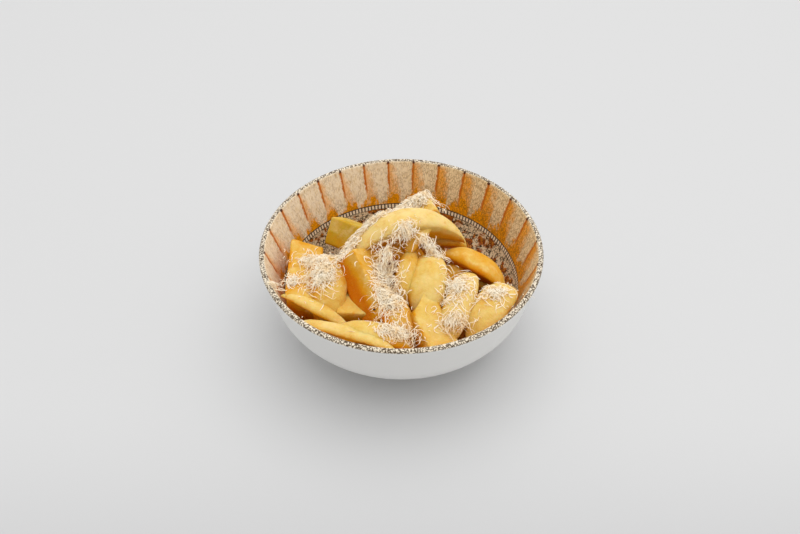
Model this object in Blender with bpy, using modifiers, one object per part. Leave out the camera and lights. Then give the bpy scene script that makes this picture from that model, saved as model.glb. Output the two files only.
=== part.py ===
"""A small round bowl filled with a heap of thick potato wedges, all sizes in metres, +Z up."""

import math
from dataclasses import dataclass

import bmesh
import bpy
from mathutils import Matrix, Vector

MM = 0.001

# Bowl, driving sizes
BOWL_RADIUS = 80 * MM
BOWL_HEIGHT = 58 * MM
RIM_THICKNESS = 3.6 * MM
SHOULDER = (74 * MM, 34 * MM)  # radius and height where the round belly meets the straight wall
FOOT_RADIUS = 36 * MM
FOOT_HEIGHT = 3.5 * MM
FOOT_WIDTH = 4 * MM
FOOT_EDGE = 0.7 * MM
BASE_RECESS = 2.5 * MM  # how far the underside inside the foot ring stands off the table
FLOOR_HEIGHT = 6.5 * MM  # the inside floor at the bowl's centre
INNER_SHOULDER = (67 * MM, 30.5 * MM)
TURN_STEPS = 64
BELLY_POINTS = 9
RIM_POINTS = 5

# Heap, driving sizes
HEAP_GAP = 0.5 * MM  # clearance between the heap and the bowl
TRIM_HEIGHT = 120 * MM
CORE_CENTRE = Vector((0, -30, 14)) * MM
CORE_RADII = Vector((66, 62, 29)) * MM
CORE_SUBDIVISIONS = 3
ARC_POINTS = 5
ARC_RISE = 0.36  # share of a wedge's depth that its rounded side takes
BLOCK_CORNER = 0.36  # where a block's flat sides end, in a unit square
BLOCK_STATIONS = ((1.0, 0.78), (0.93, 0.96), (0.5, 1.0))  # place along half a block, size there
WEDGE_STATIONS = (1.0, 0.92, 0.72, 0.4)  # places along half a wedge
WEDGE_TAPER = (2.4, 0.6)  # powers of the curve that a wedge narrows by
WEDGE_TIP = 0.14  # a wedge's size at its very end


@dataclass(frozen=True)
class Chip:
    """One potato wedge between two tips, in millimetres.

    roll turns its rounded side about the line between the tips, towards the right-hand side of the
    direction from start to end. arch lifts the middle of that line.
    """

    name: str
    start: tuple
    end: tuple
    width: float
    depth: float
    roll: float = 0.0
    arch: float = 0.0
    slab: bool = False


CHIPS = (
    Chip("summit", (-26, -10, 54), (35, 11, 53), 19, 18, roll=-38, arch=10),
    Chip("back_top", (-6, 14, 52), (20, 26, 64), 16, 15, slab=True),
    Chip("under_summit", (-20, 4, 45), (16, -12, 46), 18, 17),
    Chip("right_stub", (10, 14, 44), (38, 14, 43), 16, 14),
    Chip("back_mid", (0, 28, 28), (26, 6, 36), 18, 17),
    Chip("back_low", (-20, 28, 22), (16, 32, 18), 17, 16),
    Chip("back_left", (-40, 38, 36), (-4, 14, 40), 18, 17, slab=True),
    Chip("left_block", (-52, 15, 38), (-53, -36, 42), 19, 19, slab=True),
    Chip("left_round", (-39, 0, 48), (-41, -43, 32), 21, 19),
    Chip("big_orange", (-31, -11, 61), (-9, -47, 44), 18, 18, roll=35, slab=True),
    Chip("small_low", (-36, -33, 38), (-10, -33, 38), 15, 14, slab=True),
    Chip("rim_long_1", (-66, -32, 48), (-27, -51, 36), 11, 10),
    Chip("rim_long_2", (-54, -50, 44), (-3, -69, 43), 11, 11),
    Chip("front_mid", (-40, -54, 40), (7, -63, 40), 15, 14),
    Chip("cheese_mid", (-8, -32, 46), (2, -62, 38), 17, 15),
    Chip("narrow_mid", (6, -6, 60), (1, -36, 42), 12, 14),
    Chip("wide_mid", (18, -6, 56), (12, -44, 38), 21, 18),
    Chip("front_block", (6, -38, 54), (22, -66, 38), 18, 16, slab=True),
    Chip("right_crescent", (21, -2, 50), (57, -22, 42), 16, 15, roll=-15),
    Chip("right_inner", (40, -16, 50), (25, -58, 37), 16, 17),
    Chip("right_outer", (60, -22, 44), (34, -58, 38), 18, 18),
    Chip("right_low", (40, -12, 40), (56, -16, 38), 13, 13, slab=True),
    Chip("shade_mid", (30, 2, 42), (30, -28, 34), 15, 15),
    Chip("spike", (19, 8, 69), (3, -13, 61), 9, 9),
)


def clear_scene():
    for obj in list(bpy.data.objects):
        bpy.data.objects.remove(obj, do_unlink=True)


def collection(name, cutters=False):
    """A new collection in the scene; a cutters' collection stays out of the render."""
    made = bpy.data.collections.new(name)
    bpy.context.scene.collection.children.link(made)
    made.hide_render = cutters
    return made


def finish(name, colour, roughness):
    """A plain Principled material."""
    made = bpy.data.materials.new(name)
    made.use_nodes = True
    shader = made.node_tree.nodes["Principled BSDF"]
    shader.inputs["Base Color"].default_value = (*colour, 1)
    shader.inputs["Roughness"].default_value = roughness
    shader.inputs["Metallic"].default_value = 0
    return made


def add_object(name, mesh, group, material=None, cutter=False):
    """The mesh as an object in the group."""
    made = bpy.data.objects.new(name, mesh)
    group.objects.link(made)
    if material:
        mesh.materials.append(material)
    made.hide_render = cutter
    if cutter:
        made.display_type = "WIRE"
    return made


def bezier(start, handle, far_handle, end, count):
    """Points (radius, height) evenly spaced in the parameter along a cubic curve, both ends included."""
    points = []
    for step in range(count):
        t = step / (count - 1)
        weights = ((1 - t) ** 3, 3 * t * (1 - t) ** 2, 3 * t * t * (1 - t), t**3)
        corners = (start, handle, far_handle, end)
        points.append(tuple(sum(w * c[axis] for w, c in zip(weights, corners)) for axis in (0, 1)))
    return points


def arc(centre, radius, first, last, count):
    """Points on an arc from the angle first to the angle last, in degrees from the outward direction."""
    angles = [math.radians(first + (last - first) * step / (count - 1)) for step in range(count)]
    return [(centre[0] + radius * math.cos(a), centre[1] + radius * math.sin(a)) for a in angles]


def inner_side():
    """The bowl's inside, from the middle of its floor up to the start of the rounded rim."""
    handle = (0.5 * INNER_SHOULDER[0], FLOOR_HEIGHT)
    far_handle = (0.9 * INNER_SHOULDER[0], FLOOR_HEIGHT + 3.5 * MM)
    belly = bezier((0, FLOOR_HEIGHT), handle, far_handle, INNER_SHOULDER, BELLY_POINTS)
    rim_radius = RIM_THICKNESS / 2
    wall_top = (BOWL_RADIUS - RIM_THICKNESS, BOWL_HEIGHT - rim_radius)
    middle = tuple((a + b) / 2 for a, b in zip(INNER_SHOULDER, wall_top))
    return [*belly, middle, wall_top]


def outer_side():
    """The bowl's outside, from just under the rounded rim down to the top of the foot."""
    foot_top = (FOOT_RADIUS, FOOT_HEIGHT)
    handle = (1.5 * FOOT_RADIUS, FOOT_HEIGHT + 4.5 * MM)
    far_handle = (SHOULDER[0] - 2.8 * MM, SHOULDER[1] - 13 * MM)
    belly = bezier(foot_top, handle, far_handle, SHOULDER, BELLY_POINTS)
    return belly[::-1]


def bowl_profile():
    """The whole outline, from the middle of the floor over the rim and down the outside to the base."""
    rim_radius = RIM_THICKNESS / 2
    rim_centre = (BOWL_RADIUS - rim_radius, BOWL_HEIGHT - rim_radius)
    rim = arc(rim_centre, rim_radius, 180, 0, RIM_POINTS)
    foot_inside = FOOT_RADIUS - FOOT_WIDTH
    foot = [
        (FOOT_RADIUS, FOOT_EDGE),
        (FOOT_RADIUS - FOOT_EDGE, 0),
        (foot_inside + FOOT_EDGE, 0),
        (foot_inside, FOOT_EDGE),
        (foot_inside - FOOT_EDGE, BASE_RECESS),
        (0, BASE_RECESS),
    ]
    return [*inner_side()[:-1], *rim, *outer_side(), *foot]


def turned(name, profile, group, material=None, cutter=False):
    """A body turned about Z from an outline that starts and ends on the axis."""
    mesh = bpy.data.meshes.new(name)
    edges = [(i, i + 1) for i in range(len(profile) - 1)]
    mesh.from_pydata([(radius, 0, height) for radius, height in profile], edges, [])
    made = add_object(name, mesh, group, material, cutter)
    screw = made.modifiers.new("Turn", "SCREW")
    screw.axis = "Z"
    screw.steps = TURN_STEPS
    screw.render_steps = TURN_STEPS
    screw.use_merge_vertices = True
    screw.merge_threshold = 0.00001
    screw.use_smooth_shade = True
    return made


def wedge_section():
    """A wedge's cross-section: the thin edge at the bottom and a rounded side on top, in a unit square."""
    shoulder = 0.5 - ARC_RISE
    top = arc((0, 0), 1, 0, 180, ARC_POINTS)
    return [(0, -0.5), *[(0.5 * x, shoulder + ARC_RISE * y) for x, y in top]]


def slab_section():
    """A block's cross-section: a square with cut corners, in a unit square."""
    corners = ((1, -1), (1, 1), (-1, 1), (-1, -1))
    points = []
    for index, (x, y) in enumerate(corners):
        pair = [(0.5 * x, BLOCK_CORNER * y), (BLOCK_CORNER * x, 0.5 * y)]
        points += pair if index % 2 else pair[::-1]
    return points


def stations(slab):
    """Pairs of place along a chip, from -1 to 1, and size of the section there."""
    power, softness = WEDGE_TAPER
    half = BLOCK_STATIONS if slab else [
        (s, max(WEDGE_TIP, (1 - s**power) ** softness)) for s in WEDGE_STATIONS
    ]
    return [(-s, f) for s, f in half] + [(0.0, 1.0)] + [(s, f) for s, f in half[::-1]]


def chip_mesh(chip):
    """One chip as a closed skin drawn over its cross-sections."""
    start, end = Vector(chip.start) * MM, Vector(chip.end) * MM
    along = (end - start).normalized()
    upward = (Vector((0, 0, 1)) - along * along.z).normalized()
    turn = Matrix.Rotation(math.radians(chip.roll), 3, along)
    rise = turn @ upward
    side = along.cross(rise)
    section = slab_section() if chip.slab else wedge_section()
    lift = 0 if chip.slab else 0.5
    made = bmesh.new()
    rings = []
    for place, size in stations(chip.slab):
        middle = start.lerp(end, (place + 1) / 2) + upward * chip.arch * MM * (1 - place * place)
        ring = []
        for x, y in section:
            offset = side * x * chip.width + rise * (y + lift) * chip.depth
            ring.append(made.verts.new(middle + offset * size * MM))
        rings.append(ring)
    for ring, following in zip(rings, rings[1:]):
        for index in range(len(section)):
            beside = (index + 1) % len(section)
            made.faces.new((ring[index], ring[beside], following[beside], following[index]))
    made.faces.new(rings[0])
    made.faces.new(rings[-1][::-1])
    bmesh.ops.recalc_face_normals(made, faces=made.faces)
    mesh = bpy.data.meshes.new(chip.name)
    made.to_mesh(mesh)
    made.free()
    return mesh


def core_mesh():
    """The lump that stands for the chips deeper in the heap."""
    made = bmesh.new()
    stretch = Matrix.LocRotScale(CORE_CENTRE, None, CORE_RADII)
    bmesh.ops.create_icosphere(made, subdivisions=CORE_SUBDIVISIONS, radius=1, matrix=stretch)
    mesh = bpy.data.meshes.new("heap_core")
    made.to_mesh(mesh)
    made.free()
    return mesh


def inside_space(group):
    """The space inside the bowl, less the heap's clearance, as a cutter that reaches above the rim."""
    wall = [(max(0, radius - HEAP_GAP), height + HEAP_GAP) for radius, height in inner_side()]
    wall[0] = (0, wall[0][1])
    mouth = wall[-1][0]
    outline = [*wall, (mouth, TRIM_HEIGHT), (0, TRIM_HEIGHT)]
    return turned("inside_space", outline[::-1], group, cutter=True)


def build_bowl(parts):
    glaze = finish("bowl_glaze", (0.82, 0.79, 0.74), 0.35)
    return turned("bowl", bowl_profile(), parts, glaze)


def build_fries(parts, cutters):
    """The heap: a core joined with every chip and trimmed to the bowl's inside."""
    potato = finish("fried_potato", (0.9, 0.62, 0.18), 0.5)
    heap = add_object("fries", core_mesh(), parts, potato)
    for chip in CHIPS:
        piece = add_object("chip_" + chip.name, chip_mesh(chip), cutters, cutter=True)
        join = heap.modifiers.new("Join " + chip.name, "BOOLEAN")
        join.operation = "UNION"
        join.solver = "EXACT"
        join.object = piece
    trim = heap.modifiers.new("Trim to the bowl", "BOOLEAN")
    trim.operation = "INTERSECT"
    trim.solver = "EXACT"
    trim.object = inside_space(cutters)
    return heap


def main():
    clear_scene()
    parts = collection("potato_wedges_in_bowl")
    cutters = collection("cutters", cutters=True)
    build_bowl(parts)
    build_fries(parts, cutters)


if __name__ == "__main__":
    main()
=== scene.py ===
"""Potato wedges under finely grated cheese, in a small round bowl with a painted inside.

Sizes are in metres unless a name ends in _mm. +Z is up and the bowl stands on Z = 0.
"""

import logging
import math
from dataclasses import dataclass, field
from enum import Enum
from typing import Any

import bpy
import numpy as np
from mathutils import Matrix, Vector, noise
from mathutils.bvhtree import BVHTree


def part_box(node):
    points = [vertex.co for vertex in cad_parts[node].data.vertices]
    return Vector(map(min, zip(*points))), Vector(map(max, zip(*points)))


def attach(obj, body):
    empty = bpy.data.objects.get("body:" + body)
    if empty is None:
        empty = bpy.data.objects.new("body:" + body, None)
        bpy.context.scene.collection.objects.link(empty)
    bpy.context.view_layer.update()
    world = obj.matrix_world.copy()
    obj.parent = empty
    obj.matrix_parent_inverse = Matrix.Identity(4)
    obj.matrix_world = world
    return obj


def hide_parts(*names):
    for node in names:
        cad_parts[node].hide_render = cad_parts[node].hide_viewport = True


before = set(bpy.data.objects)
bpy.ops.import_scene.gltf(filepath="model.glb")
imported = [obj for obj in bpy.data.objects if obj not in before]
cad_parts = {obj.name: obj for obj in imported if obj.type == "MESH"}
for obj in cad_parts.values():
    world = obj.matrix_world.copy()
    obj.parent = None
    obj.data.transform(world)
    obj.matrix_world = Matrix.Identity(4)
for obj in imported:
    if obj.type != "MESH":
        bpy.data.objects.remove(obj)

MM = 0.001
ROOT = "root"
SPECK_MM = (-14.6, -45.5, 0.8)  # the burnt crumb's x, y and radius
log = logging.getLogger("potato_wedges")


def tint(code: str) -> tuple[float, float, float]:
    """A display colour such as "E8C468" as linear red, green and blue."""
    shares = [int(code[place:place + 2], 16) / 255 for place in (0, 2, 4)]
    return tuple(s / 12.92 if s <= 0.04045 else ((s + 0.055) / 1.055) ** 2.4 for s in shares)


# ---------------------------------------------------------------- shader graphs


class Link:
    """A shader socket that takes part in arithmetic; each operation adds a Math node."""

    def __init__(self, graph: "Graph", socket: bpy.types.NodeSocket) -> None:
        """Wraps a socket of a graph."""
        self.graph = graph
        self.socket = socket

    def __add__(self, other: Any) -> "Link":
        """self + other."""
        return self.graph.maths("ADD", self, other)

    __radd__ = __add__

    def __sub__(self, other: Any) -> "Link":
        """self - other."""
        return self.graph.maths("SUBTRACT", self, other)

    def __rsub__(self, other: Any) -> "Link":
        """other - self."""
        return self.graph.maths("SUBTRACT", other, self)

    def __mul__(self, other: Any) -> "Link":
        """self * other."""
        return self.graph.maths("MULTIPLY", self, other)

    __rmul__ = __mul__

    def __truediv__(self, other: Any) -> "Link":
        """self / other."""
        return self.graph.maths("DIVIDE", self, other)

    def __pow__(self, other: Any) -> "Link":
        """self raised to other."""
        return self.graph.maths("POWER", self, other)

    def __abs__(self) -> "Link":
        """The size of self without its sign."""
        return self.graph.maths("ABSOLUTE", self)


class Graph:
    """A material and the nodes added to it."""

    def __init__(self, name: str) -> None:
        """Makes an empty material of that name."""
        self.material = bpy.data.materials.new(name)
        self.material.use_nodes = True
        self.tree = self.material.node_tree
        self.tree.nodes.clear()

    def node(self, kind: str, settings: dict[str, Any] | None = None,
             inputs: dict[str | int, Any] | None = None, output: str | int = 0) -> Link:
        """Adds a node.

        Args:
            kind: the node's type name, without the ShaderNode at its front.
            settings: its properties, set first.
            inputs: values or links for its sockets, by name or index.
            output: the socket that is handed back.

        Returns:
            The chosen output.
        """
        made = self.tree.nodes.new("ShaderNode" + kind)
        for key, value in (settings or {}).items():
            setattr(made, key, value)
        for key, value in (inputs or {}).items():
            if isinstance(value, Link):
                self.tree.links.new(value.socket, made.inputs[key])
            else:
                made.inputs[key].default_value = value
        return Link(self, made.outputs[output])

    def maths(self, operation: str, *values: Any) -> Link:
        """A Math node on links or numbers."""
        return self.node("Math", {"operation": operation}, dict(enumerate(values)))

    def both(self, first: Link, second: Any) -> Link:
        """The larger of two values."""
        return self.maths("MAXIMUM", first, second)

    def step(self, value: Any, low: float, high: float) -> Link:
        """Rises smoothly from 0 at low to 1 at high, or falls where low is above high."""
        start, end = (0.0, 1.0) if low < high else (1.0, 0.0)
        inputs = {"Value": value, "From Min": min(low, high), "From Max": max(low, high),
                  "To Min": start, "To Max": end}
        return self.node("MapRange", {"interpolation_type": "SMOOTHSTEP", "clamp": True}, inputs)

    def blend(self, base: Any, top: Any, share: Any) -> Link:
        """Colours mixed by share, 0 giving base and 1 giving top."""
        ends = [colour if isinstance(colour, Link) else (*colour, 1.0) for colour in (base, top)]
        inputs = {0: share, 6: ends[0], 7: ends[1]}
        return self.node("Mix", {"data_type": "RGBA"}, inputs, 2)

    def noise(self, place: Link, per_mm: float, detail: float = 3.0, roughness: float = 0.5,
              distortion: float = 0.0) -> Link:
        """Cloudy noise from about 0 to 1 with that many features a millimetre."""
        inputs = {"Vector": place, "Scale": per_mm, "Detail": detail, "Roughness": roughness,
                  "Distortion": distortion}
        return self.node("TexNoise", {"noise_dimensions": "3D"}, inputs, 0)

    def cell_edges(self, place: Link, per_mm: float) -> Link:
        """Distance to the nearest edge between cells, in cell widths."""
        settings = {"voronoi_dimensions": "3D", "feature": "DISTANCE_TO_EDGE"}
        return self.node("TexVoronoi", settings, {"Vector": place, "Scale": per_mm})

    def place_mm(self, stretch: tuple[float, float, float] = (1, 1, 1)) -> Link:
        """The point on the surface in millimetres, each axis times its stretch."""
        place = self.node("TexCoord", output="Object")
        factors = tuple(share / MM for share in stretch)
        return self.node("VectorMath", {"operation": "MULTIPLY"}, {0: place, 1: factors})

    def shifted(self, place: Link, by: Link, amount: float) -> Link:
        """A place moved about by a cloudy value, for wavering lines."""
        scale = {0: (1, 0.7, -0.8), "Scale": (by - 0.5) * amount}
        way = self.node("VectorMath", {"operation": "SCALE"}, scale)
        return self.node("VectorMath", {"operation": "ADD"}, {0: place, 1: way})

    def bump(self, height: Link, distance: float, strength: float = 1.0) -> Link:
        """A normal raised by height, where 1 stands distance proud."""
        return self.node("Bump", None, {"Height": height, "Distance": distance, "Strength": strength})

    def finish(self, **sockets: Any) -> bpy.types.Material:
        """Closes the graph with a Principled surface; underscores in names stand for spaces."""
        inputs = {key.replace("_", " "): value for key, value in sockets.items()}
        surface = self.node("BsdfPrincipled", None, inputs)
        output = self.tree.nodes.new("ShaderNodeOutputMaterial")
        self.tree.links.new(surface.socket, output.inputs["Surface"])
        return self.material


# ---------------------------------------------------------------- finishes


@dataclass(frozen=True)
class PaintedGlaze:
    """White glaze outside, and inside cream streaks, golden spokes, a beaded ring and a crackled floor."""

    spokes: int = 28
    spoke_phase: float = 0.62
    beads: int = 200
    ring_start_mm: float = 28.6
    ring_width_mm: float = 3.3
    white: str = "EAE9E6"
    cream: str = "FFF5E4"
    streak: str = "E8CFA0"
    golden: str = "F5A20C"
    deep_golden: str = "DE8606"
    line: str = "C4690F"
    dot: str = "431002"
    warm_cream: str = "F6D698"
    rim_cream: str = "EFE2CB"
    rim_ink: str = "47300F"
    bead: str = "F3E2C4"
    floor_cream: str = "E0CBA6"
    floor_golden: str = "C27A22"
    wall_thread: str = "8A5A14"
    wall_crack: str = "6E4E1C"
    crack: str = "33200C"
    red_brown: str = "9A4C12"

    def material(self) -> bpy.types.Material:
        """Builds the glaze from the bowl's Glaze map: turns round the bowl, and way down from the rim."""
        g = Graph("painted_glaze")
        place = g.node("UVMap", {"uv_map": "Glaze"})
        turns = g.node("SeparateXYZ", None, {0: place}, 0)
        side = g.node("SeparateXYZ", None, {0: place}, 1) * 100
        even = g.place_mm()
        slow = g.noise(even, 0.06, 2)
        waver = g.noise(even, 0.5, 2)
        cells = g.cell_edges(g.shifted(even, waver, 1.4), 0.6)
        net = g.step(cells, 0.17, 0.03) * g.step(g.noise(even, 0.45, 2), 0.36, 0.56)

        outside = g.step(side, -2.0, -2.8)
        on_rim = g.step(side, 1.6, 0.9)
        ring_end = self.ring_start_mm + self.ring_width_mm
        on_floor = g.step(side, ring_end - 0.3, ring_end)
        in_ring = g.step(side, self.ring_start_mm - 0.3, self.ring_start_mm) * (1 - on_floor)

        colour = self.wall(g, turns, side, even, waver, net)
        colour = g.blend(colour, self.floor(g, even, waver, net), on_floor)
        colour = g.blend(colour, self.ring(g, turns, side, waver), in_ring)
        marks = g.step(g.cell_edges(g.shifted(even, waver, 1.2), 0.72), 0.24, 0.08)
        marks = marks * g.step(g.noise(even, 0.8, 2), 0.36, 0.48)
        rim = g.blend(tint(self.rim_cream), tint(self.rim_ink), marks * 0.95)
        colour = g.blend(colour, rim, on_rim)
        across = self.across(g, turns, waver)
        spot = g.maths("SQRT", across * across + (side - 1.7) ** 2)
        colour = g.blend(colour, tint(self.dot), g.step(spot + waver * 1.8, 2.2, 1.3) * 0.95)
        colour = g.blend(colour, tint(self.white), outside)

        return g.finish(Base_Color=colour, Roughness=g.maths("MULTIPLY_ADD", slow, 0.16, 0.24),
                        Normal=g.bump(net * (1 - outside) * -1, 0.00006, 0.6), IOR=1.45,
                        Specular_IOR_Level=0.2)

    def across(self, g: Graph, turns: Link, waver: Link) -> Link:
        """Way round from the nearest spoke in millimetres, positive anticlockwise."""
        drift = g.maths("SINE", turns * (4 * math.pi) - math.pi / 6) * 0.28
        count = turns * self.spokes + (self.spoke_phase + 0.5) - drift + (waver - 0.5) * 0.07
        return (g.maths("FRACT", count) - 0.5) * (2 * math.pi * 72 / self.spokes)

    def wall(self, g: Graph, turns: Link, side: Link, even: Link, waver: Link, net: Link) -> Link:
        """The wall's cream streaks, its golden wash beside each spoke, and the spokes."""
        tall = g.place_mm((1, 1, 0.14))
        grain = g.noise(tall, 1.1, 2, 0.6)
        right = g.step(g.node("SeparateXYZ", None, {0: even}, 0), -35, 45)
        thread = g.step(g.cell_edges(g.shifted(tall, waver, 0.9), 0.95), 0.17, 0.02)
        thread = thread * g.step(g.noise(even, 0.3, 2) + right * 0.12, 0.40, 0.58)
        patchy = g.noise(g.place_mm((1, 1, 0.45)), 0.3, 3, 0.65)
        fine = g.noise(even, 1.1, 2, 0.6)

        across = self.across(g, turns, waver)
        beside = 0 - across
        reach = side * 0.24 + right * 3.5 + 1.2
        wash = g.step(beside / reach + (patchy - 0.5) * 2.2, 1.5, 0.2) * g.step(beside, -0.5, 0.3)
        wash = wash * g.step(side, 0.5, 5.0)
        foot = g.step(side + (patchy - 0.5) * 26 + right * 4 - abs(across + 3) * 0.9, 19.0, 24.0)
        gold = g.both(wash * (right * 0.40 + 0.50), foot)
        spoke = g.step(abs(across) + (waver - 0.5) * 1.2, 1.15, 0.35)
        spoke = spoke * g.step(side, 1.2, 2.6) * g.step(side + (patchy - 0.5) * 12, 22, 17)

        ground = g.blend(tint(self.cream), tint(self.warm_cream), right * 0.45 + 0.35)
        colour = g.blend(ground, tint(self.streak), g.step(grain, 0.42, 0.72))
        colour = g.blend(colour, tint(self.golden), gold)
        colour = g.blend(colour, tint(self.deep_golden), gold * g.step(fine, 0.48, 0.66) * 0.7)
        colour = g.blend(colour, tint(self.wall_thread), thread * (right * 0.25 + 0.30))
        colour = g.blend(colour, tint(self.wall_crack), net * g.step(side + right * 6, 17, 27) * 0.45)
        return g.blend(colour, tint(self.line), spoke * 0.95)

    def ring(self, g: Graph, turns: Link, side: Link, waver: Link) -> Link:
        """The ring of cream beads between dark lines."""
        bead = abs(g.maths("FRACT", turns * self.beads + waver * 0.3) - 0.5)
        middle = abs(side - (self.ring_start_mm + self.ring_width_mm / 2)) / (self.ring_width_mm / 2)
        gaps = g.both(g.step(bead, 0.24, 0.38), g.step(middle + (waver - 0.5) * 0.3, 0.60, 0.80))
        return g.blend(tint(self.bead), tint(self.crack), gaps * 0.95)

    def floor(self, g: Graph, even: Link, waver: Link, net: Link) -> Link:
        """The floor's cream and red-brown patches under black cracks."""
        patch = g.step(g.noise(even, 0.11, 3, 0.6, 0.6), 0.50, 0.56)
        red = g.blend(tint(self.red_brown), tint(self.floor_golden), g.step(waver, 0.4, 0.65))
        return g.blend(g.blend(tint(self.floor_cream), red, patch), tint(self.crack), net)


@dataclass(frozen=True)
class FriedPotato:
    """Pale soft faces that turn golden and then orange where they fried most, and more orange where painted
    shade falls on faces turned away from the light.
    """

    palest: str = "F1D38A"
    pale: str = "E8C264"
    golden: str = "E09A10"
    orange: str = "D07200"
    olive: str = "CDA31C"
    soft_patch: str = "F5DB96"
    fried_patch: str = "DC9A1E"
    crumb: str = "F8E9BC"

    def material(self) -> bpy.types.Material:
        """Builds the potato from the chips' looks attribute: edges, browning with painted shade added, and
        olive tone.
        """
        g = Graph("fried_potato")
        looks = g.node("Attribute", {"attribute_name": "BrowningAndShade"}, output="Color")
        edge, browned_and_shaded, green = (g.node("SeparateColor", None, {0: looks}, part) for part in range(3))
        even = g.place_mm()
        blotch = g.noise(even, 0.1, 3, 0.55)
        fine = g.noise(even, 0.55, 3, 0.6)
        grain = g.noise(even, 2.2, 2, 0.5)
        # The browning channel carries painted shade as well as real browning.
        level = browned_and_shaded + edge * g.step(blotch, 0.35, 0.7) * 0.5
        level = level + (blotch - 0.5) * 0.8 + (fine - 0.5) * 0.3
        colour = g.blend(tint(self.pale), tint(self.golden), g.step(level, 0.05, 0.62))
        colour = g.blend(colour, tint(self.orange), g.step(level, 0.55, 1.15))
        colour = g.blend(colour, tint(self.palest), g.step(level, 0.05, -0.55))
        colour = g.blend(colour, tint(self.olive), green * g.step(blotch, 0.1, 0.55))
        mottle = g.noise(g.shifted(even, blotch, 9), 0.13, 5, 0.68)
        soft = g.step(mottle, 0.46, 0.70) * g.step(level, 0.75, 0.1)
        colour = g.blend(colour, tint(self.soft_patch), soft * 0.55)
        colour = g.blend(colour, tint(self.fried_patch), g.step(mottle, 0.48, 0.30) * 0.5)
        colour = g.blend(colour, tint(self.crumb), g.step(grain, 0.55, 0.85) * 0.15)
        height = fine * 0.6 + grain * 0.25 + blotch * 0.8
        return g.finish(Base_Color=colour, Roughness=g.maths("MULTIPLY_ADD", fine, 0.25, 0.34),
                        Normal=g.bump(height, 0.0008, 0.7), IOR=1.4, Specular_IOR_Level=0.14,
                        Subsurface_Weight=0.25, Subsurface_Radius=(1.0, 0.5, 0.15),
                        Subsurface_Scale=0.003)


@dataclass(frozen=True)
class HardCheese:
    """Pale cream cheese, a little see-through."""

    pale: str = "FFF4DE"
    deep: str = "FBDFAE"

    def material(self) -> bpy.types.Material:
        """Builds the cheese with soft changes of cream."""
        g = Graph("grated_cheese")
        even = g.place_mm()
        colour = g.blend(tint(self.pale), tint(self.deep), g.step(g.noise(even, 0.25, 2), 0.35, 0.8))
        rough = g.maths("MULTIPLY_ADD", g.noise(even, 1.5, 2), 0.2, 0.4)
        return g.finish(Base_Color=colour, Roughness=rough, IOR=1.45, Specular_IOR_Level=0.3)


@dataclass(frozen=True)
class BurntCrumb:
    """A dark burnt crumb."""

    dark: str = "2A1206"
    brown: str = "4A2308"

    def material(self) -> bpy.types.Material:
        """Builds the crumb's dark brown."""
        g = Graph("burnt_crumb")
        colour = g.blend(tint(self.dark), tint(self.brown), g.noise(g.place_mm(), 1.5, 2))
        return g.finish(Base_Color=colour, Roughness=0.6)


@dataclass(frozen=True)
class Tabletop:
    """A pale matt surface with a painted shadow that darkens it towards the front."""

    colour: str = "D2D2D2"
    painted_shadow_colour: str = "B4B4B5"

    def material(self) -> bpy.types.Material:
        """Builds the tabletop, with a painted shadow darker towards the front."""
        g = Graph("pale_tabletop")
        near = g.node("SeparateXYZ", None, {0: g.place_mm()}, 1)
        # Painted shadow: the colour darkens from 60 mm to 300 mm in front of the middle.
        colour = g.blend(tint(self.colour), tint(self.painted_shadow_colour), g.step(near, -60, -300))
        return g.finish(Base_Color=colour, Roughness=0.7, Specular_IOR_Level=0.2)


# ---------------------------------------------------------------- meshes


def sheet_faces(rows: int, columns: int) -> np.ndarray:
    """Quads of a tube of rows by columns points, closed round the columns."""
    row, column = np.meshgrid(np.arange(rows - 1), np.arange(columns), indexing="ij")
    beside = (column + 1) % columns
    corners = (row * columns + column, row * columns + beside,
               (row + 1) * columns + beside, (row + 1) * columns + column)
    return np.stack(corners, axis=-1).reshape(-1, 4)


def make_object(name: str, points: np.ndarray, faces: list,
                material: bpy.types.Material) -> bpy.types.Object:
    """A smooth mesh object that rides on the part.

    Args:
        name: the piece's name.
        points: its vertices in metres.
        faces: its faces as vertex numbers.
        material: its material.

    Returns:
        The new object.
    """
    mesh = bpy.data.meshes.new(name)
    mesh.from_pydata(points.tolist(), [], faces)
    mesh.materials.append(material)
    mesh.shade_smooth()
    made = bpy.data.objects.new(name, mesh)
    bpy.context.scene.collection.objects.link(made)
    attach(made, ROOT)
    log.info("%s: %d points, %d faces", name, len(points), len(faces))
    return made


def add_map(mesh: bpy.types.Mesh, name: str, places: np.ndarray) -> None:
    """Stores a UV map given one place for each face corner."""
    layer = mesh.uv_layers.new(name=name, do_init=False)
    layer.uv.foreach_set("vector", places.astype(np.float32).ravel())


def curve(points: tuple, count: int) -> np.ndarray:
    """Points evenly spaced in the parameter along a cubic curve through its two end points."""
    t = np.linspace(0, 1, count)[:, None]
    a, b, c, d = (np.array(p, float) for p in points)
    return (1 - t) ** 3 * a + 3 * t * (1 - t) ** 2 * b + 3 * t * t * (1 - t) * c + t**3 * d


def straight(start: tuple, end: tuple, count: int) -> np.ndarray:
    """Points evenly spaced on a straight line."""
    return np.linspace(start, end, count)


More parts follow.
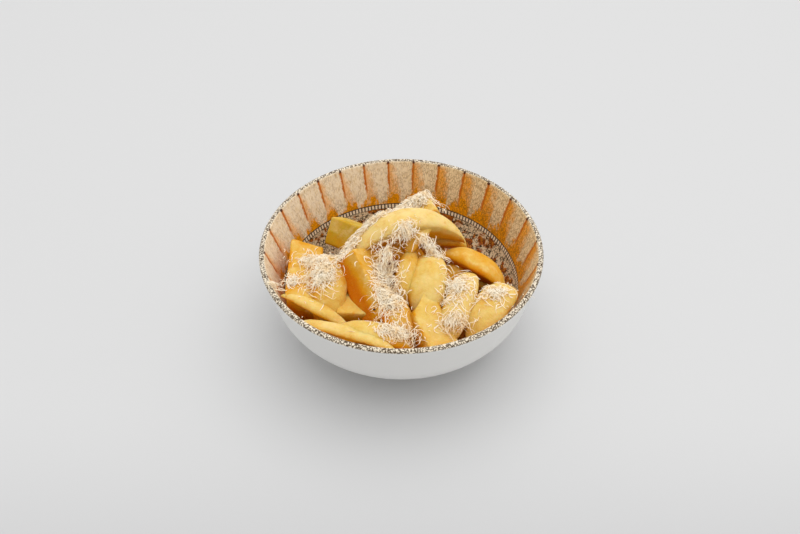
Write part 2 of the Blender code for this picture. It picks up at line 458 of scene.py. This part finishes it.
@dataclass
class Bowl:
    """The turned bowl, as (radius, height) outlines; its radius and height come from the bowl part in
    model.glb.
    """

    radius: float
    height: float
    finish: PaintedGlaze = field(default_factory=PaintedGlaze)
    rim_thickness: float = 3.6 * MM
    shoulder: tuple[float, float] = (74 * MM, 34 * MM)
    inner_shoulder: tuple[float, float] = (67 * MM, 30.5 * MM)
    floor_height: float = 6.5 * MM
    foot_radius: float = 36 * MM
    foot_height: float = 3.5 * MM
    foot_width: float = 4 * MM
    base_recess: float = 2.5 * MM
    turns: int = 288

    def inside(self) -> np.ndarray:
        """The inside from the middle of the floor up to the rounded rim."""
        wide, high = self.inner_shoulder
        belly = curve(((0, self.floor_height), (0.5 * wide, self.floor_height),
                       (0.9 * wide, self.floor_height + 3.5 * MM), self.inner_shoulder), 34)
        top = (self.radius - self.rim_thickness, self.height - self.rim_thickness / 2)
        return np.vstack([belly, straight(self.inner_shoulder, top, 24)[1:]])

    def rim(self) -> np.ndarray:
        """The rounded rim, from inside to outside."""
        half = self.rim_thickness / 2
        angle = np.radians(np.linspace(180, 0, 13))
        return np.stack([self.radius - half + half * np.cos(angle),
                         self.height - half + half * np.sin(angle)], axis=1)

    def outside(self) -> np.ndarray:
        """The outside from under the rim down to the middle of the base."""
        edge = 0.7 * MM
        wall = straight((self.radius, self.height - self.rim_thickness / 2), self.shoulder, 14)
        belly = curve((self.shoulder, (self.shoulder[0] - 2.8 * MM, self.shoulder[1] - 13 * MM),
                       (1.5 * self.foot_radius, self.foot_height + 4.5 * MM),
                       (self.foot_radius, self.foot_height)), 24)
        inner = self.foot_radius - self.foot_width
        foot = [(self.foot_radius - 0.2 * MM, self.foot_height - edge), (self.foot_radius, edge),
                (self.foot_radius - 0.2 * MM, 0.2 * MM), (self.foot_radius - edge, 0), (inner + edge, 0),
                (inner + 0.2 * MM, 0.2 * MM), (inner, edge), (inner - edge, self.base_recess),
                (0.5 * inner, self.base_recess), (0, self.base_recess)]
        return np.vstack([wall[1:], belly[1:], foot])

    def build(self) -> bpy.types.Object:
        """Turns the outline into a mesh with a map for the paint and one for baking."""
        inside, rim, outside = self.inside(), self.rim(), self.outside()
        outline = np.vstack([inside[:-1], rim, outside])
        steps = np.linalg.norm(np.diff(outline, axis=0), axis=1)
        way = np.concatenate([[0], np.cumsum(steps)])
        side = way[len(inside) - 1 + len(rim) // 2] - way
        angle = np.linspace(0, 2 * math.pi, self.turns, endpoint=False)
        rings = outline[1:-1]
        ring_points = np.stack([rings[:, :1] * np.cos(angle), rings[:, :1] * np.sin(angle),
                                np.repeat(rings[:, 1:], self.turns, axis=1)], axis=-1).reshape(-1, 3)
        last = len(ring_points)
        points = np.vstack([ring_points, [(0, 0, outline[0, 1]), (0, 0, outline[-1, 1])]])
        faces = sheet_faces(len(rings), self.turns).tolist()
        lowest = (len(rings) - 1) * self.turns
        for k in range(self.turns):
            beside = (k + 1) % self.turns
            faces.append([last, beside, k])
            faces.append([last + 1, lowest + k, lowest + beside])
        made = make_object("patterned_bowl", points, [face[::-1] for face in faces],
                           self.finish.material())
        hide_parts("bowl")
        self._add_maps(made.data, side)
        return made

    def _add_maps(self, mesh: bpy.types.Mesh, side: np.ndarray) -> None:
        """Stores the paint's map, and for baking two half turns of the inside over the outside."""
        rows = np.concatenate([np.repeat(side[1:-1], self.turns), [side[0], side[-1]]])
        columns = np.concatenate([np.tile(np.arange(self.turns), len(side) - 2), [0, 0]]) / self.turns
        corners = np.zeros(len(mesh.loops), np.int64)
        mesh.loops.foreach_get("vertex_index", corners)
        first = np.zeros(len(mesh.polygons), np.int64)
        mesh.polygons.foreach_get("loop_start", first)
        total = np.zeros(len(mesh.polygons), np.int64)
        mesh.polygons.foreach_get("loop_total", total)
        face_of = np.repeat(np.arange(len(first)), total)
        poles = corners >= len(rows) - 2
        turn = columns[corners]
        highest = np.zeros(len(first))
        lowest = np.ones(len(first))
        np.maximum.at(highest, face_of[~poles], turn[~poles])
        np.minimum.at(lowest, face_of[~poles], turn[~poles])
        seam = (highest - lowest > 0.5)[face_of]
        turn = np.where(seam & (turn < 0.5), turn + 1, turn)
        middle = np.where(highest - lowest > 0.5, 1 - 0.5 / self.turns, (highest + lowest) / 2)
        turn = np.where(poles, middle[face_of], turn)
        add_map(mesh, "Glaze", np.stack([turn, rows[corners] * 10], axis=1))
        inner = np.bincount(face_of, rows[corners]) / total > -2 * MM
        half = middle > 0.5
        deep = rows.max()
        shallow = -rows.min()
        inner_v = 0.01 + 0.36 * (rows[corners] + 2.5 * MM) / (deep + 2.5 * MM)
        inner_v = np.where(half[face_of], inner_v + 0.38, inner_v)
        inner_u = np.where(half[face_of], turn - 0.5, turn) * 2
        outer_v = 0.77 + 0.22 * (-rows[corners]) / shallow
        u = np.where(inner[face_of], 0.005 + 0.99 * inner_u, 0.005 + 0.99 * turn)
        v = np.where(inner[face_of], inner_v, outer_v)
        add_map(mesh, "OFBake", np.stack([u, np.clip(v, 0, 1)], axis=1))

    def keep_inside(self, points: np.ndarray, gap: float) -> np.ndarray:
        """Moves points that lie in the wall or floor to just inside it.

        Args:
            points: positions, one row each.
            gap: the clearance kept to the bowl.

        Returns:
            The moved points.
        """
        inside = self.inside()
        moved = points.copy()
        reach = np.hypot(moved[:, 0], moved[:, 1])
        limit = np.interp(moved[:, 2], inside[:, 1], inside[:, 0], right=1.0) - gap
        limit = np.maximum(limit, 20 * MM)
        shrink = np.where(reach > limit, limit / np.maximum(reach, MM), 1.0)
        moved[:, :2] *= shrink[:, None]
        reach = np.hypot(moved[:, 0], moved[:, 1])
        floor = np.interp(reach, inside[:, 0], inside[:, 1]) + gap
        low = (reach < self.inner_shoulder[0]) & (moved[:, 2] < floor)
        moved[low, 2] = floor[low]
        return moved


# ---------------------------------------------------------------- potato


class Cut(Enum):
    """How a chip was cut: a wedge with a rounded side, or a squared block."""

    WEDGE = "wedge"
    BLOCK = "block"


@dataclass(frozen=True)
class Chip:
    """One chip between two tips, in millimetres.

    roll turns its rounded side about the line between the tips, towards the right-hand side of the
    direction from start to end. arch lifts the middle of that line. slant is how far the start is cut
    back on the right-hand side, or on the left where it is below 0. brown and olive are its tones.
    """

    name: str
    cut: Cut
    start: tuple[float, float, float]
    end: tuple[float, float, float]
    width: float
    depth: float
    roll: float = 0.0
    arch: float = 0.0
    slant: float = 0.0
    brown: float = 0.0
    olive: float = 0.0


CHIPS = (
    Chip("summit", Cut.WEDGE, (-28, -10, 54), (36, 8, 53), 20, 18, roll=-18, arch=10, brown=-0.35),
    Chip("back_top", Cut.BLOCK, (-6, 14, 52), (20, 26, 64), 16, 15),
    Chip("under_summit", Cut.WEDGE, (-20, 4, 45), (16, -12, 46), 18, 17, brown=0.45),
    Chip("right_stub", Cut.WEDGE, (10, 14, 44), (38, 14, 43), 16, 14),
    Chip("back_mid", Cut.WEDGE, (0, 28, 28), (26, 6, 36), 18, 17, brown=0.3),
    Chip("back_low", Cut.WEDGE, (-20, 28, 22), (16, 32, 18), 17, 16, brown=0.2),
    Chip("back_left", Cut.BLOCK, (-40, 38, 36), (-4, 14, 40), 18, 17, roll=-38, olive=0.9),
    Chip("left_block", Cut.BLOCK, (-54, 16, 41), (-54, -36, 43), 19, 19, slant=-9, brown=0.3),
    Chip("left_round", Cut.WEDGE, (-39, 0, 48), (-41, -43, 32), 21, 19, brown=0.2),
    Chip("big_orange", Cut.BLOCK, (-26, -10, 60), (-7, -46, 44), 18, 18, roll=-30, brown=0.4),
    Chip("small_low", Cut.BLOCK, (-35, -34, 41), (-10, -36, 41), 17, 15, brown=0.2),
    Chip("rim_long_1", Cut.WEDGE, (-66, -31, 49), (-27, -50, 40), 8, 8, brown=-0.15),
    Chip("rim_long_2", Cut.WEDGE, (-56, -49, 46), (-3, -70, 47), 8, 7, brown=-0.25),
    Chip("front_mid", Cut.WEDGE, (-40, -54, 40), (7, -63, 40), 15, 14),
    Chip("cheese_mid", Cut.WEDGE, (-8, -32, 46), (2, -62, 38), 17, 15, brown=0.3),
    Chip("narrow_mid", Cut.WEDGE, (6, -6, 60), (1, -36, 42), 12, 14, brown=0.15),
    Chip("wide_mid", Cut.WEDGE, (18, -6, 56), (12, -44, 38), 21, 18, brown=-0.15),
    Chip("front_block", Cut.BLOCK, (5, -33, 56), (22, -66, 38), 18, 15, slant=16, roll=-10, brown=0.05),
    Chip("right_crescent", Cut.WEDGE, (21, -2, 50), (57, -22, 42), 16, 15, roll=-15, brown=0.35),
    Chip("right_inner", Cut.WEDGE, (40, -16, 50), (25, -58, 37), 16, 17, brown=-0.3),
    Chip("right_outer", Cut.WEDGE, (62, -22, 44), (37, -59, 38), 20, 18, brown=-0.1),
    Chip("right_low", Cut.BLOCK, (40, -12, 40), (56, -16, 38), 13, 13, brown=0.2),
    Chip("shade_mid", Cut.WEDGE, (30, 2, 42), (30, -28, 34), 15, 15, brown=0.4),
    Chip("spike", Cut.WEDGE, (19, 8, 69), (3, -13, 61), 9, 9, brown=0.3),
)


@dataclass
class ChipShaper:
    """Turns chips into rounded, slightly uneven bodies, with painted shade on the faces turned away from the
    light.
    """

    bowl: Bowl
    along: int = 90
    around: int = 64
    corner_mm: float = 0.3
    unevenness_mm: float = 0.55
    arc_rise: float = 0.36
    overrun: float = 1.012
    wedge_taper: tuple[float, float] = (2.4, 0.6)
    block_taper: tuple[float, float] = (34, 0.4)
    lumps: tuple[tuple[float, float], ...] = ((13, 1.1), (5, 0.45), (1.8, 0.12))
    # Painted shade: the way towards the light, and how far a face may turn from it before it is painted more
    # orange.
    painted_light_way: tuple[float, float, float] = (0.45, 0.30, 0.84)
    painted_shade_reach: float = 0.38

    def section(self, chip: Chip) -> tuple[np.ndarray, np.ndarray]:
        """The chip's cross-section in millimetres and how sharply it turns at each point, 0 to 1."""
        if chip.cut is Cut.WEDGE:
            arc = np.radians(np.linspace(0, 180, 24))
            base = 1 - self.arc_rise
            bend = np.stack([0.5 * np.cos(arc), base + self.arc_rise * np.sin(arc)], axis=1)
            outline = np.vstack([[(0, 0)], bend])
        else:
            outline = np.array([(-0.5, -0.5), (0.5, -0.5), (0.5, 0.5), (-0.5, 0.5)], float)
        outline = outline * (chip.width, chip.depth)
        closed = np.vstack([outline, outline[:1]])
        way = np.concatenate([[0], np.cumsum(np.linalg.norm(np.diff(closed, axis=0), axis=1))])
        fine = 4 * self.around
        places = np.linspace(0, way[-1], fine, endpoint=False)
        dense = np.stack([np.interp(places, way, closed[:, axis]) for axis in (0, 1)], axis=1)
        spread = self.corner_mm * 1.3 / (way[-1] / fine)
        offsets = np.arange(fine) - fine // 2
        kernel = np.exp(-0.5 * (offsets / spread) ** 2)
        kernel /= kernel.sum()
        pull = np.fft.rfft(np.fft.ifftshift(kernel))
        smooth = np.stack([np.fft.irfft(np.fft.rfft(dense[:, axis]) * pull, fine) for axis in (0, 1)], axis=1)
        middle = smooth[::-4]
        low, high = middle.min(axis=0), middle.max(axis=0)
        full_low, full_high = outline.min(axis=0), outline.max(axis=0)
        middle = full_low + (middle - low) * (full_high - full_low) / (high - low)
        turn = np.linalg.norm(np.roll(middle, 1, 0) + np.roll(middle, -1, 0) - 2 * middle, axis=1)
        return middle, np.clip(turn / turn.max() * 1.3, 0, 1)

    def taper(self, chip: Chip, place: np.ndarray) -> np.ndarray:
        """Size of the section at places from -1 to 1 along the chip."""
        power, softness = self.wedge_taper if chip.cut is Cut.WEDGE else self.block_taper
        return np.maximum(1 - np.abs(place / self.overrun) ** power, 0) ** softness

    def shape(self, chip: Chip, seed: int) -> tuple[np.ndarray, np.ndarray]:
        """One chip's points, ring by ring, and their looks as edge, browning with painted shade, and olive.
        """
        start, end = np.array(chip.start, float), np.array(chip.end, float)
        line = Vector(end - start).normalized()
        upward = (Vector((0, 0, 1)) - line * line.z).normalized()
        rise = Matrix.Rotation(math.radians(chip.roll), 3, line) @ upward
        side = line.cross(rise)
        section, turn = self.section(chip)
        place = self.overrun * np.sin(np.linspace(-math.pi / 2, math.pi / 2, self.along + 2))[1:-1]
        size = self.taper(chip, place)
        middle = start + (end - start) * ((place + 1) / 2)[:, None]
        middle += np.array(upward) * (chip.arch * (1 - place**2))[:, None]
        offset = section[:, :1] * np.array(side) + section[:, 1:] * np.array(rise)
        points = middle[:, None] + size[:, None, None] * offset[None]
        back = abs(chip.slant) * (0.5 + math.copysign(1, chip.slant) * section[:, 0] / chip.width)
        points = points + np.array(line) * (np.clip(-place, 0, 1)[:, None] ** 2 * back[None])[..., None]
        rng = np.random.default_rng(seed)
        twist = rng.uniform(-1, 1, 3) * 100
        centre = points.mean(axis=1, keepdims=True)
        outward = points - centre
        outward /= np.maximum(np.linalg.norm(outward, axis=2, keepdims=True), 1e-6)
        lumps = np.array([self.lump(p, twist) for p in points.reshape(-1, 3)]).reshape(points.shape[:2])
        points = points + outward * (lumps * np.minimum(size * 2, 1)[:, None])[..., None]
        ends = np.clip((np.abs(place) - 0.72) / 0.28, 0, 1)[:, None]
        edge = np.clip(turn[None] * 0.9 + ends * 0.6, 0, 1)
        # Painted shade: faces turned away from the light get extra browning, so they render more orange.
        shaded = np.clip(self.painted_shade_reach - outward @ self.painted_light_way, 0, 1)
        looks = np.stack([edge, chip.brown + shaded, np.full_like(edge, chip.olive),
                          np.ones_like(edge)], axis=-1)
        tips = (points[0].mean(0), points[-1].mean(0))
        points = np.vstack([points.reshape(-1, 3), tips]) * MM
        looks = np.vstack([looks.reshape(-1, 4), looks[0, 0], looks[-1, 0]])
        return self.bowl.keep_inside(points, 0.4 * MM), looks

    def lump(self, point_mm: np.ndarray, twist: np.ndarray) -> float:
        """How far the surface stands out at a point, in millimetres."""
        at = Vector(point_mm + twist)
        return sum(noise.noise(at / size) * high for size, high in self.lumps) * self.unevenness_mm

    def faces(self) -> list[list[int]]:
        """The faces of one chip's points."""
        made = sheet_faces(self.along, self.around).tolist()
        first, last = self.along * self.around, self.along * self.around + 1
        end = (self.along - 1) * self.around
        for k in range(self.around):
            beside = (k + 1) % self.around
            made.append([first, beside, k])
            made.append([last, end + k, end + beside])
        return made


@dataclass
class Heap:
    """The heap of chips over a smaller core."""

    shaper: ChipShaper
    finish: FriedPotato = field(default_factory=FriedPotato)
    core_centre: tuple[float, float, float] = (0, -28 * MM, 12 * MM)
    core_radii: tuple[float, float, float] = (60 * MM, 54 * MM, 23 * MM)
    core_looks: tuple[float, float, float, float] = (0.6, 0.7, 0, 1)

    def build(self) -> list[bpy.types.Object]:
        """Makes the core and one piece for each kind of chip."""
        material = self.finish.material()
        made = [self.build_core(material)]
        for cut in Cut:
            made.append(self.build_kind(cut, material))
        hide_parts("fries")
        return made

    def build_kind(self, cut: Cut, material: bpy.types.Material) -> bpy.types.Object:
        """Joins every chip of one kind."""
        chips = [(index, chip) for index, chip in enumerate(CHIPS) if chip.cut is cut]
        one = np.array(self.shaper.faces(), dtype=object)
        points, looks, faces = [], [], []
        for index, chip in chips:
            base = sum(len(part) for part in points)
            shaped, tones = self.shaper.shape(chip, index)
            points.append(shaped)
            looks.append(tones)
            faces += [[corner + base for corner in face] for face in one]
        made = make_object(f"{cut.value}_chips", np.vstack(points), faces, material)
        tones = made.data.attributes.new("BrowningAndShade", "FLOAT_COLOR", "POINT")
        tones.data.foreach_set("color", np.vstack(looks).astype(np.float32).ravel())
        self.add_bake_map(made.data, len(chips), len(points[0]))
        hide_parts("fries")
        return made

    def add_bake_map(self, mesh: bpy.types.Mesh, count: int, size: int) -> None:
        """Gives each chip its own tile, unrolled along and around."""
        tiles = math.ceil(math.sqrt(count))
        corners = np.zeros(len(mesh.loops), np.int64)
        mesh.loops.foreach_get("vertex_index", corners)
        first = np.zeros(len(mesh.polygons), np.int64)
        mesh.polygons.foreach_get("loop_start", first)
        total = np.zeros(len(mesh.polygons), np.int64)
        mesh.polygons.foreach_get("loop_total", total)
        face_of = np.repeat(np.arange(len(first)), total)
        chip, inner = corners // size, corners % size
        row, column = inner // self.shaper.around, (inner % self.shaper.around) / self.shaper.around
        pole = inner >= self.shaper.along * self.shaper.around
        highest, lowest = np.zeros(len(first)), np.ones(len(first))
        np.maximum.at(highest, face_of[~pole], column[~pole])
        np.minimum.at(lowest, face_of[~pole], column[~pole])
        wraps = highest - lowest > 0.5
        column = np.where(wraps[face_of] & (column < 0.5), column + 1, column)
        middle = np.where(wraps, 1 - 0.5 / self.shaper.around, (highest + lowest) / 2)
        column = np.where(pole, middle[face_of], column)
        along = (row + 1) / (self.shaper.along + 1)
        along = np.where(pole, (inner - self.shaper.along * self.shaper.around).astype(float), along)
        u = (chip % tiles + 0.02 + 0.96 * column) / tiles
        v = (chip // tiles + 0.02 + 0.96 * along) / tiles
        add_map(mesh, "OFBake", np.stack([u, v], axis=1))

    def build_core(self, material: bpy.types.Material) -> bpy.types.Object:
        """The lump under the chips."""
        rows, columns = 40, 72
        down = np.linspace(0, math.pi, rows + 2)[1:-1, None]
        turn = np.linspace(0, 2 * math.pi, columns, endpoint=False)[None]
        unit = np.stack([np.sin(down) * np.cos(turn), np.sin(down) * np.sin(turn),
                         np.cos(down) * np.ones_like(turn)], axis=-1).reshape(-1, 3)
        unit = np.vstack([unit, [(0, 0, 1), (0, 0, -1)]])
        points = unit * self.core_radii + self.core_centre
        points *= 1 + 0.03 * np.array([noise.noise(Vector(p) / 0.012) for p in points])[:, None]
        faces = sheet_faces(rows, columns).tolist()
        top, bottom = rows * columns, rows * columns + 1
        for k in range(columns):
            beside = (k + 1) % columns
            faces.append([top, beside, k])
            faces.append([bottom, (rows - 1) * columns + k, (rows - 1) * columns + beside])
        points = self.shaper.bowl.keep_inside(points, 0.6 * MM)
        made = make_object("heap_core", points, [face[::-1] for face in faces], material)
        tones = made.data.attributes.new("BrowningAndShade", "FLOAT_COLOR", "POINT")
        tones.data.foreach_set("color", np.tile(np.float32(self.core_looks), len(points)))
        return made


# ---------------------------------------------------------------- cheese


@dataclass(frozen=True)
class Clump:
    """A patch where cheese fell: its middle and half sizes in millimetres, its turn in degrees and share."""

    x: float
    y: float
    long: float
    short: float
    turn: float
    share: float


CLUMPS = (
    Clump(-49, -7, 10, 7, -30, 0.9),
    Clump(-43, -23, 11, 9, 80, 1.5),
    Clump(-60, -22, 6, 5, 0, 0.3),
    Clump(-30, -6, 9, 4, 60, 0.9),
    Clump(-15, 6, 16, 4, 38, 1.3),
    Clump(6, 25, 12, 5, 20, 2.4),
    Clump(2, -9, 7, 4, 30, 0.7),
    Clump(-9, -21, 7, 9, 0, 1.4),
    Clump(-7, -41, 8, 12, 5, 2.1),
    Clump(-2, -61, 10, 4, 0, 0.9),
    Clump(16, -12, 9, 3, -15, 0.7),
    Clump(30, -36, 8, 11, -20, 0.9),
    Clump(50, -38, 9, 7, 20, 0.7),
    Clump(28, -54, 8, 4, 0, 0.5),
    Clump(-70, -30, 3, 1.5, 0, 0.08),
)


@dataclass(frozen=True)
class Shreds:
    """One kind of cheese shred: how many, their lengths in millimetres and how they curl."""

    name: str
    count: int
    joints: int
    shortest: float
    longest: float
    width: float
    curl: float
    lift: float
    seed: int


@dataclass
class GratedCheese:
    """Fine shreds dropped one by one on the heap, each lying on what is under it.

    spreads are how far shreds scatter, in half sizes of their clump. sag is how fast a shred bends
    down from where it rests, and pile_mm how much each one raises what lies under the next.
    """

    bowl: Bowl
    grid_mm: float = 0.6
    reach_mm: float = 76.0
    bridge_steps: int = 14
    bridge_slope: float = 1.2
    spreads: tuple[float, ...] = (0.38, 0.40, 0.46, 0.70)
    sag: float = 0.09
    pile_mm: float = 0.16
    finish: HardCheese = field(default_factory=HardCheese)
    kinds: tuple[Shreds, ...] = (
        Shreds("long_cheese_shreds", 2300, 10, 4, 10, 0.20, 0.32, 2.0, 11),
        Shreds("short_cheese_shreds", 3600, 6, 1.2, 4.0, 0.20, 0.50, 1.2, 12),
    )

    def measure(self, pieces: list[bpy.types.Object]) -> None:
        """Reads the height of the top surface of the pieces over a grid."""
        points, faces, base = [], [], 0
        for piece in pieces:
            mesh = piece.data
            place = np.zeros(len(mesh.vertices) * 3)
            mesh.vertices.foreach_get("co", place)
            points.append(place.reshape(-1, 3))
            faces += [[v + base for v in face.vertices] for face in mesh.polygons]
            base += len(mesh.vertices)
        tree = BVHTree.FromPolygons(np.vstack(points).tolist(), faces)
        self.size = int(2 * self.reach_mm / self.grid_mm) + 1
        self.heights = np.zeros((self.size, self.size))
        down = Vector((0, 0, -1))
        for i in range(self.size):
            for j in range(self.size):
                x, y = (index * self.grid_mm - self.reach_mm for index in (i, j))
                hit = tree.ray_cast(Vector((x * MM, y * MM, 0.2)), down)[0]
                self.heights[i, j] = hit.z / MM if hit else 0.0
        for _ in range(self.bridge_steps):
            for axis in (0, 1):
                for way in (-1, 1):
                    beside = np.roll(self.heights, way, axis) - self.bridge_slope * self.grid_mm
                    self.heights = np.maximum(self.heights, beside)

    def height_at(self, x: np.ndarray, y: np.ndarray) -> tuple[np.ndarray, np.ndarray, np.ndarray]:
        """Heights under points in millimetres, and their grid cells."""
        i = np.clip(np.rint((x + self.reach_mm) / self.grid_mm).astype(int), 1, self.size - 2)
        j = np.clip(np.rint((y + self.reach_mm) / self.grid_mm).astype(int), 1, self.size - 2)
        return self.heights[i, j], i, j

    def lay_shred(self, kind: Shreds, clump: Clump, rng: np.random.Generator) -> np.ndarray:
        """Finds the line of one shred, in millimetres, and raises the pile under it."""
        turn = math.radians(clump.turn)
        long, short = rng.normal(0, rng.choice(self.spreads), 2) * (clump.long, clump.short)
        x = clump.x + long * math.cos(turn) - short * math.sin(turn)
        y = clump.y + long * math.sin(turn) + short * math.cos(turn)
        length = rng.uniform(kind.shortest, kind.longest)
        step = length / (kind.joints - 1)
        bend = rng.normal(0, kind.curl) * step
        swing = np.cumsum(bend + rng.normal(0, 0.22, kind.joints))
        heading = rng.uniform(0, 2 * math.pi) + swing
        xs = x + np.cumsum(np.cos(heading)) * step
        ys = y + np.cumsum(np.sin(heading)) * step
        xs, ys = xs - xs.mean() + x, ys - ys.mean() + y
        under, i, j = self.height_at(xs, ys)
        way = np.arange(kind.joints) * step
        sag = self.sag * (way[:, None] - way[None]) ** 2
        zs = (under[None] - sag).max(axis=1)
        lifted = kind.lift * rng.random() ** 2.5
        raised = lifted * np.sin(np.linspace(0, math.pi, kind.joints) + rng.uniform(-0.9, 0.9))
        zs = zs + np.maximum(raised, -0.1) + kind.width
        self.heights[i, j] = np.maximum(self.heights[i, j], np.minimum(under + self.pile_mm, zs))
        return np.stack([xs, ys, zs], axis=1)

    def build(self) -> list[bpy.types.Object]:
        """Drops every kind of shred and joins each kind as one piece."""
        material = self.finish.material()
        return [self.build_kind(kind, material) for kind in self.kinds]

    def drop_speck(self, x: float, y: float, radius: float) -> bpy.types.Object:
        """Lays a tiny burnt crumb on the heap at a place in millimetres."""
        count = 8
        turn = np.linspace(0, 2 * math.pi, count, endpoint=False)
        height = self.height_at(np.array([x]), np.array([y]))[0][0]
        rings = [(0.7, -0.5), (1.0, 0.0), (0.6, 0.55)]
        points = [(x + radius * wide * math.cos(a), y + 0.7 * radius * wide * math.sin(a),
                   height + radius * (0.4 + rise)) for wide, rise in rings for a in turn]
        faces = sheet_faces(len(rings), count).tolist()
        faces += [list(range(count))[::-1], list(range(2 * count, 3 * count))]
        material = BurntCrumb().material()
        made = make_object("burnt_speck", np.array(points) * MM, faces, material)
        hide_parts("fries")
        return made

    def build_kind(self, kind: Shreds, material: bpy.types.Material) -> bpy.types.Object:
        """Makes one kind of shred as three-sided tapering ribbons."""
        rng = np.random.default_rng(kind.seed)
        shares = np.array([clump.share for clump in CLUMPS])
        chosen = rng.choice(len(CLUMPS), kind.count, p=shares / shares.sum())
        lines = np.stack([self.lay_shred(kind, CLUMPS[index], rng) for index in chosen])
        along = np.gradient(lines, axis=1)
        along /= np.maximum(np.linalg.norm(along, axis=2, keepdims=True), 1e-9)
        up = np.zeros_like(along)
        up[..., 2] = 1
        side = np.cross(along, up)
        side /= np.maximum(np.linalg.norm(side, axis=2, keepdims=True), 1e-9)
        over = np.cross(side, along)
        tilt = rng.normal(0, 0.35, (kind.count, 1))
        roll = tilt + np.linspace(-0.5, 0.5, kind.joints) * rng.normal(0, 1.2, (kind.count, 1))
        wide = np.cos(roll)[..., None] * side + np.sin(roll)[..., None] * over
        thin = np.cross(along, wide)
        taper = np.sin(np.linspace(0.18, math.pi - 0.18, kind.joints)) ** 0.6
        size = kind.width * rng.uniform(0.7, 1.3, (kind.count, 1)) * taper
        corners = [(-1.0, -0.15), (1.0, -0.15), (0.0, 0.35)]
        rings = np.stack([lines + (wide * a + thin * b) * size[..., None] for a, b in corners], axis=2)
        points = self.bowl.keep_inside(rings.reshape(-1, 3) * MM, 0.1 * MM)
        one = sheet_faces(kind.joints, 3).tolist()
        one += [[2, 1, 0], [3 * kind.joints - 3, 3 * kind.joints - 2, 3 * kind.joints - 1]]
        size_of_one = 3 * kind.joints
        faces = [[corner + k * size_of_one for corner in face] for k in range(kind.count) for face in one]
        made = make_object(kind.name, points, faces, material)
        made.data.shade_flat()
        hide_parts("fries")
        self.add_bake_map(made.data, kind)
        return made

    def add_bake_map(self, mesh: bpy.types.Mesh, kind: Shreds) -> None:
        """Gives each shred a small tile of its own."""
        tiles = math.ceil(math.sqrt(kind.count))
        corners = np.zeros(len(mesh.loops), np.int64)
        mesh.loops.foreach_get("vertex_index", corners)
        shred, inner = corners // (3 * kind.joints), corners % (3 * kind.joints)
        u = (shred % tiles + 0.2 + 0.6 * (inner // 3) / (kind.joints - 1)) / tiles
        v = (shred // tiles + 0.2 + 0.3 * (inner % 3)) / tiles
        add_map(mesh, "OFBake", np.stack([u, v], axis=1))


# ---------------------------------------------------------------- stage


@dataclass
class Studio:
    """The pale tabletop, the soft light and the camera."""

    finish: Tabletop = field(default_factory=Tabletop)
    table_size: float = 8.0
    bright_side: tuple[float, float, float] = (0.50, 0.85, 0.0)
    bright_level: float = 1.06
    dim_level: float = 0.63
    key_power: float = 11.0
    key_place: tuple[float, float, float] = (0.15, 0.2, 1.5)
    key_size: float = 1.8
    camera_place: tuple[float, float, float] = (-0.0007, -0.4594, 0.4827)
    camera_tilt_deg: float = 46.167
    lens_mm: float = 50.0

    def build(self) -> None:
        """Sets up everything round the object."""
        self.build_table()
        self.build_light()
        self.build_camera()
        settings = bpy.context.scene.view_settings
        settings.view_transform = "Standard"

    def build_table(self) -> None:
        """The table is one large face at Z = 0."""
        mesh = bpy.data.meshes.new("tabletop")
        half = self.table_size / 2
        corners = [(-half, -half, 0), (half, -half, 0), (half, half, 0), (-half, half, 0)]
        mesh.from_pydata(corners, [], [(0, 1, 2, 3)])
        mesh.materials.append(self.finish.material())
        table = bpy.data.objects.new("tabletop", mesh)
        bpy.context.scene.collection.objects.link(table)

    def build_light(self) -> None:
        """A pale room, brighter behind and to the right, and one soft lamp on that side."""
        world = bpy.data.worlds.new("soft_room")
        world.use_nodes = True
        bpy.context.scene.world = world
        nodes, links = world.node_tree.nodes, world.node_tree.links
        nodes.clear()
        toward = nodes.new("ShaderNodeTexCoord")
        facing = nodes.new("ShaderNodeVectorMath")
        facing.operation = "DOT_PRODUCT"
        facing.inputs[1].default_value = self.bright_side
        level = nodes.new("ShaderNodeMapRange")
        for key, value in {"From Min": -1.0, "From Max": 1.0, "To Min": self.dim_level,
                           "To Max": self.bright_level}.items():
            level.inputs[key].default_value = value
        background = nodes.new("ShaderNodeBackground")
        background.inputs["Color"].default_value = (1.0, 1.0, 1.0, 1)
        output = nodes.new("ShaderNodeOutputWorld")
        links.new(toward.outputs["Generated"], facing.inputs[0])
        links.new(facing.outputs["Value"], level.inputs["Value"])
        links.new(level.outputs[0], background.inputs["Strength"])
        links.new(background.outputs[0], output.inputs[0])
        lamp = bpy.data.lights.new("window_lamp", "AREA")
        lamp.shape = "SQUARE"
        lamp.size = self.key_size
        lamp.energy = self.key_power
        key = bpy.data.objects.new("window_lamp", lamp)
        key.location = self.key_place
        aim = Vector((0, 0, 0.03)) - key.location
        key.rotation_euler = aim.to_track_quat("-Z", "Y").to_euler()
        bpy.context.scene.collection.objects.link(key)

    def build_camera(self) -> None:
        """The camera looks down on the bowl from the front."""
        data = bpy.data.cameras.new("camera")
        data.lens = self.lens_mm
        data.sensor_width = 36
        camera = bpy.data.objects.new("camera", data)
        camera.location = self.camera_place
        camera.rotation_euler = (math.radians(self.camera_tilt_deg), 0, 0)
        bpy.context.scene.collection.objects.link(camera)
        bpy.context.scene.camera = camera


def main() -> None:
    """Builds the bowl, the chips, the cheese and the studio, in that order."""
    logging.basicConfig(level=logging.INFO, format="%(name)s %(message)s")
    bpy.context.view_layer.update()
    low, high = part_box("bowl")
    bowl = Bowl(radius=(high.x - low.x) / 2, height=high.z)
    bowl_piece = bowl.build()
    chips = Heap(ChipShaper(bowl)).build()
    cheese = GratedCheese(bowl)
    cheese.measure([bowl_piece, *chips])
    cheese.drop_speck(*SPECK_MM)
    cheese.build()
    Studio().build()


if __name__ == "__main__":
    main()
